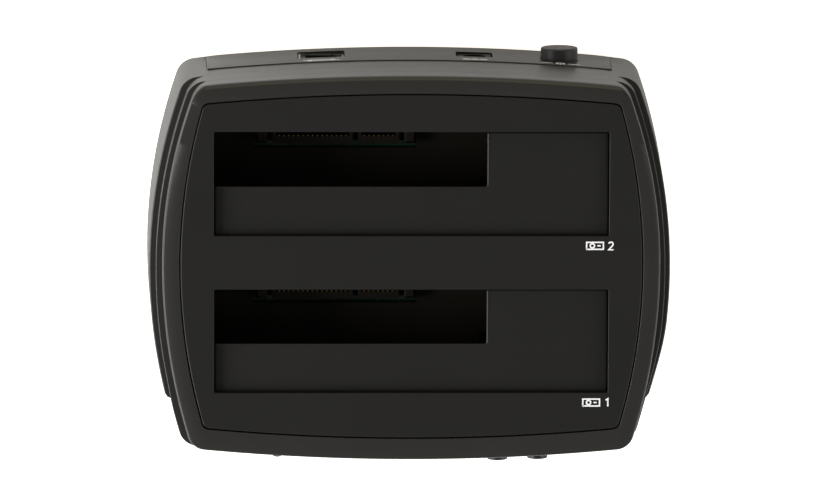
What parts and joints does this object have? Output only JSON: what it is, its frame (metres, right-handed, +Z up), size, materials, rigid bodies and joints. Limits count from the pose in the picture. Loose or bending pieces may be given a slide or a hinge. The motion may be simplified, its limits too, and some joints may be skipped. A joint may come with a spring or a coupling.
{
  "type": "hard drive docking station",
  "caption": "Desktop docking station with upright drive bays behind sprung L-shaped flaps, rear data and power ports, push buttons and a barrel-shaped case.",
  "frame": {"origin": "on the table under the middle of the bounding box", "axes": "+X to the right seen from the front, +Y to the rear ports, +Z up"},
  "size_m": [0.141, 0.1064, 0.06],
  "materials": {
    "case_black": "fine matte texture",
    "panel_black": "fine matte texture",
    "inner_black": "plain moulded",
    "button_black": "satin",
    "plunger_white": "plain moulded",
    "foot_rubber": "matte",
    "steel": "zinc plated",
    "socket_steel": "tin plated",
    "aluminium_can": "satin",
    "gold_plate": "plated",
    "board_green": "solder mask",
    "chip_black": "moulded epoxy",
    "lamp_clear": "diffused"
  },
  "bodies": {
    "case": {"base_tray": "case_black", "bay_chips": "chip_black", "bay_guide_front": "inner_black", "bay_guide_rear": "inner_black", "board_link_header": "inner_black", "bridge_chip": "chip_black", "capacitors": "aluminium_can", "case_screws": "steel", "choke": "chip_black", "cover_shell": "case_black", "crystal": "aluminium_can", "dc_jack_body": "inner_black", "dc_jack_pin": "socket_steel", "drive_board": "board_green", "drive_board_screws": "steel", "drive_contacts_front": "gold_plate", "drive_contacts_rear": "gold_plate", "drive_socket_front": "inner_black", "drive_socket_rear": "inner_black", "flap_pin_front": "steel", "flap_pin_rear": "steel", "foot_1": "foot_rubber", "foot_2": "foot_rubber", "foot_3": "foot_rubber", "foot_4": "foot_rubber", "front_board": "board_green", "indicator_led": "lamp_clear", "io_panel": "case_black", "main_board": "board_green", "main_board_screws": "steel", "mode_switch": "chip_black", "power_switch_body": "chip_black", "start_switch": "chip_black", "top_panel": "panel_black", "usb_contacts": "gold_plate", "usb_socket_insert": "inner_black", "usb_socket_shell": "socket_steel"},
    "flap_front": {"flap_front": "panel_black", "flap_spring_front": "steel"},
    "flap_rear": {"flap_rear": "panel_black", "flap_spring_rear": "steel"},
    "power_button": {"power_button": "button_black", "power_plunger": "plunger_white"},
    "start_button": {"start_button": "button_black", "start_plunger": "plunger_white"},
    "mode_button": {"mode_button": "button_black", "mode_plunger": "plunger_white"}
  },
  "joints": [
    {"name": "flap_front_hinge", "type": "hinge", "parent": "case", "child": "flap_front", "pos_m": [0, -0.03587, 0.0557], "axis": [-1, 0, 0], "range_deg": [0, 90], "stiffness_Nm_per_rad": 0.004, "springref_deg": -34.38, "deforming": ["flap_spring_front"]},
    {"name": "flap_rear_hinge", "type": "hinge", "parent": "case", "child": "flap_rear", "pos_m": [0, 0.00607, 0.0557], "axis": [-1, 0, 0], "range_deg": [0, 90], "stiffness_Nm_per_rad": 0.004, "springref_deg": -34.38, "deforming": ["flap_spring_rear"]},
    {"name": "power_press", "type": "slide", "parent": "case", "child": "power_button", "axis": [0, -1, 0], "range_m": [0, 0.0025], "stiffness_N_per_m": 400, "springref_m": -0.001},
    {"name": "start_press", "type": "slide", "parent": "case", "child": "start_button", "axis": [0, 1, 0], "range_m": [0, 0.0005], "stiffness_N_per_m": 600, "springref_m": -0.0005},
    {"name": "mode_press", "type": "slide", "parent": "case", "child": "mode_button", "axis": [0, 1, 0], "range_m": [0, 0.0005], "stiffness_N_per_m": 600, "springref_m": -0.0005}
  ]
}
